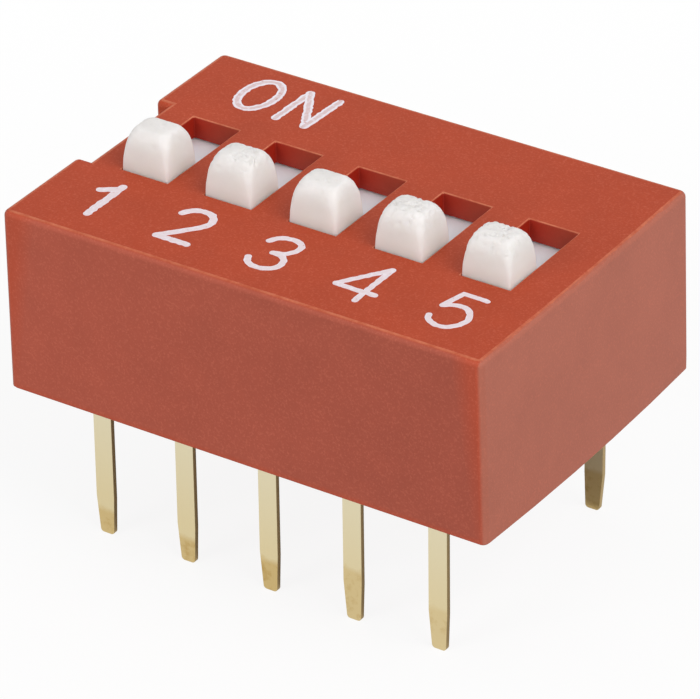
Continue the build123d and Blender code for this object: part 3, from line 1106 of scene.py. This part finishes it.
@dataclass
class Legend(Dressed):
    """The print on the cover's top: ON behind the slots, and a numeral in front of each."""

    slot: ClassVar[str] = "white_ink"
    height: float = 1.58 * MM
    width: float = 0.95 * MM
    numeral_strokes: tuple[float, ...] = (0.215 * MM, 0.2 * MM, 0.175 * MM, 0.165 * MM, 0.16 * MM)
    numeral_pitch: float = 2.63 * MM
    numeral_middle: float = -0.08 * MM
    numeral_foot: float = -3.95 * MM
    word_places: tuple[tuple[str, float], ...] = (("O", -4.97 * MM), ("N", -3.46 * MM))
    word_foot: float = 2.68 * MM
    ink: float = 0.012 * MM
    bite: float = 0.006 * MM
    lift: float = 0.001 * MM
    steps: int = 9
    cap_steps: int = 7
    ragged: float = 0.3
    ragged_size: float = 0.12 * MM
    bend_clear: float = 0.36 * MM
    bend_least: float = 0.45
    run: float = 0.05 * MM
    word_stroke: float = 0.235 * MM

    def build(self) -> list[tuple[Piece, bool]]:
        """Lays every sign.

        Returns:
            Each printed sign, and whether it is one of the rubbed ones.
        """
        made = []
        for number, width in enumerate(self.numeral_strokes, start=1):
            middle = self.numeral_middle + (number - (KEY_COUNT + 1) / 2) * self.numeral_pitch
            made.append((self.sign(str(number), middle, self.numeral_foot, width), False))
        for letter, middle in self.word_places:
            made.append((self.sign(letter, middle, self.word_foot, self.word_stroke), True))
        return made

    def sign(self, letter: str, middle: float, foot: float, width: float) -> Piece:
        """Lays one sign on the cover as thin ribbons of ink.

        Args:
            letter: The sign.
            middle: The place of its middle along X.
            foot: The place of its foot along Y.
            width: The width of its strokes.

        Returns:
            The piece.
        """
        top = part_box("cover")[1].z
        solid = bmesh.new()
        sheet = solid.loops.layers.uv.new("stroke")
        for index, stroke in enumerate(SIGNS[letter]):
            path = [Vector((middle + x * self.width, foot + y * self.height)) for x, y in stroke.points]
            path = self.smooth(path, stroke.end) if stroke.curved else self.divided(path)
            closed = stroke.end is StrokeEnd.CLOSED
            sides = self.sides(path, closed, width)
            if not closed:
                sides = [*self.cap(sides[0], -1), *sides, *self.cap(sides[-1], 1)]
            self.ribbon(solid, sheet, sides, closed, top, top + self.ink + index * self.lift)
        return place_solid(solid, f"print_{letter}", "housing")

    def divided(self, path: list[Vector]) -> list[Vector]:
        """Adds points along the straight runs of a stroke, clear of its bends.

        Args:
            path: The corners of the stroke.

        Returns:
            Closer points, with the corners among them.
        """
        found = []
        for index, (here, there) in enumerate(zip(path, path[1:])):
            length = (there - here).length
            first = self.bend_clear if index > 0 else 0.0
            last = length - (self.bend_clear if index < len(path) - 2 else 0.0)
            count = max(1, round(length / self.run))
            shares = [step / count for step in range(1, count) if first <= step / count * length <= last]
            found.extend([here, *(here.lerp(there, share) for share in shares)])
        return [*found, path[-1]]

    def smooth(self, path: list[Vector], end: StrokeEnd) -> list[Vector]:
        """Runs a smooth curve through the points of a stroke.

        Args:
            path: The points.
            end: Whether the stroke is closed.

        Returns:
            Closer points along the curve.
        """
        count = len(path)
        closed = end is StrokeEnd.CLOSED
        found = []
        for i in range(count if closed else count - 1):
            before, here, there, after = (
                path[k % count] if closed else path[max(0, min(count - 1, k))] for k in (i - 1, i, i + 1, i + 2)
            )
            for step in range(self.steps):
                t = step / self.steps
                bend = (2 * before - 5 * here + 4 * there - after) * t**2
                twist = (3 * here - before - 3 * there + after) * t**3
                found.append(0.5 * (2 * here + (there - before) * t + bend + twist))
        return found if closed else [*found, path[-1]]

    def ribbon(
        self, solid: Solid, sheet: bmesh.types.BMLayerItem, sides: list[Pair], closed: bool, top: float, level: float
    ) -> None:
        """Adds one stroke as a closed slip of ink that bites a little into the cover.

        Args:
            solid: The sign's mesh.
            sheet: The layer that holds how far along and across the stroke a corner lies.
            sides: The left and right edge of the stroke, point by point.
            closed: Whether its ends meet.
            top: The level of the cover's top.
            level: The level of the ink's face.
        """
        upper = [[solid.verts.new((p.x, p.y, level)) for p in pair] for pair in sides]
        lower = [[solid.verts.new((p.x, p.y, top - self.bite)) for p in pair] for pair in sides]
        count = len(sides)
        for i in range(count if closed else count - 1):
            j = (i + 1) % count
            face = solid.faces.new((upper[i][0], upper[j][0], upper[j][1], upper[i][1]))
            for loop, across in zip(face.loops, (0.0, 0.0, 1.0, 1.0)):
                loop[sheet].uv = (i / count, across)
            solid.faces.new((lower[i][1], lower[j][1], lower[j][0], lower[i][0]))
            solid.faces.new((upper[j][0], upper[i][0], lower[i][0], lower[j][0]))
            solid.faces.new((upper[i][1], upper[j][1], lower[j][1], lower[i][1]))
        if not closed:
            solid.faces.new((upper[0][0], upper[0][1], lower[0][1], lower[0][0]))
            solid.faces.new((upper[-1][1], upper[-1][0], lower[-1][0], lower[-1][1]))

    def sides(self, path: list[Vector], closed: bool, width: float) -> list[Pair]:
        """Finds the two edges of a stroke, slightly ragged as a pad leaves them.

        Args:
            path: The stroke's middle line.
            closed: Whether its ends meet.
            width: The stroke's width.

        Returns:
            The left and right point at each point of the line.
        """
        count = len(path)
        found = []
        for i, here in enumerate(path):
            runs = [(here - path[i - 1]).normalized()] if closed or i > 0 else []
            if closed or i < count - 1:
                runs.append((path[(i + 1) % count] - here).normalized())
            way = sum(runs, Vector((0.0, 0.0))).normalized()
            across = Vector((-way.y, way.x))
            stretch = 1 / max(self.bend_least, way.dot(runs[0]))
            pair = []
            for side in (1, -1):
                edge = across * side * width / 2
                rough = noise.noise((here + edge).to_3d() / self.ragged_size)
                pair.append(here + edge * stretch * (1 + self.ragged * rough))
            found.append((pair[0], pair[1]))
        return found

    def cap(self, pair: Pair, sense: int) -> list[Pair]:
        """Rounds the end of a stroke.

        Args:
            pair: The stroke's two edges there.
            sense: Minus one at the start of the stroke and one at its end.

        Returns:
            Pairs of edge points from the stroke out to its round end, in the stroke's order.
        """
        half = (pair[0] - pair[1]) / 2
        middle = (pair[0] + pair[1]) / 2
        outward = Vector((half.y, -half.x)) * sense
        found = []
        for step in range(1, self.cap_steps):
            turn = step / self.cap_steps * math.pi / 2
            base = middle + outward * math.sin(turn)
            found.append((base + half * math.cos(turn), base - half * math.cos(turn)))
        return found if sense > 0 else found[::-1]


@dataclass(frozen=True)
class Softbox:
    """A square area lamp that looks at the switch: its place, its side and its power."""

    name: str
    place: tuple[float, float, float]
    side: float
    watts: float


@dataclass
class Studio:
    """White paper, soft lamps and the camera that took the photograph's view."""

    floor_half: float = 0.6
    white: str = "#FFFFFF"
    ambient: float = 0.5
    lamps: tuple[Softbox, ...] = (
        Softbox("left_softbox", (-0.25, -0.59, 0.31), 0.30, 1.42),
        Softbox("overhead_softbox", (0.0, 0.05, 0.50), 0.40, 0.17),
        Softbox("right_softbox", (0.422, -0.06, 0.384), 0.38, 1.8),
    )
    target: tuple[float, float, float] = (0.0, 0.0, 1.2 * MM)
    azimuth: float = 33.311
    elevation: float = 30.982
    roll: float = -0.828
    distance: float = 137.87 * MM
    lens: float = 277.59
    sensor: float = 36.0
    shift: Point = (0.0009, -0.0178)
    clip: Point = (1.0 * MM, 10.0)

    def build(self) -> None:
        """Sets up the paper, the lamps, the surroundings and the camera."""
        self.lay_floor()
        for lamp in self.lamps:
            self.hang(lamp)
        self.light_world()
        self.set_camera()
        bpy.context.scene.view_settings.view_transform = "Standard"

    def lay_floor(self) -> None:
        """Lays the paper at the level of the pins' tips."""
        mesh = bpy.data.meshes.new("paper_floor")
        half = self.floor_half
        corners = [(-half, -half, 0.0), (half, -half, 0.0), (half, half, 0.0), (-half, half, 0.0)]
        mesh.from_pydata(corners, [], [(0, 1, 2, 3)])
        floor = bpy.data.objects.new("paper_floor", mesh)
        floor.location.z = CAD_BOX[0].z
        bpy.context.scene.collection.objects.link(floor)
        mesh.materials.append(PaperSweep().make())

    def hang(self, lamp: Softbox) -> None:
        """Hangs one softbox, turned towards the switch.

        Args:
            lamp: Its name, place, side and power.
        """
        data = bpy.data.lights.new(lamp.name, "AREA")
        data.shape = "SQUARE"
        data.size = lamp.side
        data.energy = lamp.watts
        lit = bpy.data.objects.new(lamp.name, data)
        lit.location = lamp.place
        lit.rotation_euler = (-Vector(lamp.place)).to_track_quat("-Z", "Y").to_euler()
        bpy.context.scene.collection.objects.link(lit)

    def light_world(self) -> None:
        """Makes the surroundings white where they are seen, and dimmer as a light."""
        world = bpy.data.worlds.new("white_surroundings")
        bpy.context.scene.world = world
        world.use_nodes = True
        tree = world.node_tree
        tree.nodes.clear()
        dim = add_node(tree, "ShaderNodeBackground", {"Color": self.white, "Strength": self.ambient})
        white = add_node(tree, "ShaderNodeBackground", {"Color": self.white, "Strength": 1.0})
        mixed = add_node(tree, "ShaderNodeMixShader", (seen_directly(tree), dim, white))
        add_node(tree, "ShaderNodeOutputWorld", {"Surface": mixed})

    def set_camera(self) -> None:
        """Places the camera by its angles, its distance and its roll about the line of sight."""
        azimuth, elevation, roll = (math.radians(a) for a in (self.azimuth, self.elevation, self.roll))
        flat = math.cos(elevation)
        back = Vector((math.sin(azimuth) * flat, -math.cos(azimuth) * flat, math.sin(elevation)))
        right = Vector((math.cos(azimuth), math.sin(azimuth), 0.0))
        up = back.cross(right)
        level_right = right * math.cos(roll) + up * math.sin(roll)
        level_up = up * math.cos(roll) - right * math.sin(roll)
        data = bpy.data.cameras.new("photo_camera")
        data.sensor_width = self.sensor
        data.lens = self.lens
        data.shift_x, data.shift_y = self.shift
        data.clip_start, data.clip_end = self.clip
        camera = bpy.data.objects.new("photo_camera", data)
        axes = Matrix((level_right, level_up, back)).transposed().to_4x4()
        camera.matrix_world = Matrix.Translation(Vector(self.target) + back * self.distance) @ axes
        bpy.context.scene.collection.objects.link(camera)
        bpy.context.scene.camera = camera


KNOB_TOPS = (KnobTop.CLEAN, KnobTop.FRAYED, KnobTop.CLEAN, KnobTop.CHIPPED, KnobTop.CHIPPED)


def main() -> None:
    """Builds and dresses every piece, then the studio, and notes the size of the result."""
    logging.basicConfig(level=logging.INFO, format="%(name)s: %(message)s")
    red, white = MouldedPbt().make(), MouldedNylon().make()
    plate, spring = GoldPlate().make(), SpringGold().make()
    inks = {
        False: PadPrintInk("pad_printed_white_ink", rub=0.5, middle=0.5).make(),
        True: PadPrintInk("pad_printed_white_ink_rubbed", rub=0.85, middle=0.3).make(),
    }
    work: list[tuple[Cover | Base | Key | Contact | Terminal, Material]] = [(Cover(), red), (Base(), red)]
    for number, (top, stain) in enumerate(zip(KNOB_TOPS, FRONT_STAINS), start=1):
        work.append((Key(number, top), white))
        work.append((Contact(number), spring))
        work.append((Terminal(Row.FRONT, number, stain), plate))
        work.append((Terminal(Row.BACK, number, BACK_STAIN), plate))
    for part, material in work:
        piece = part.build()
        part.dress(piece, material)
        LOG.info("%s: %d faces", piece.name, len(piece.data.polygons))
    legend = Legend()
    for piece, rubbed in legend.build():
        legend.dress(piece, inks[rubbed])
        LOG.info("%s: %d faces", piece.name, len(piece.data.polygons))
    Studio().build()


if __name__ == "__main__":
    main()
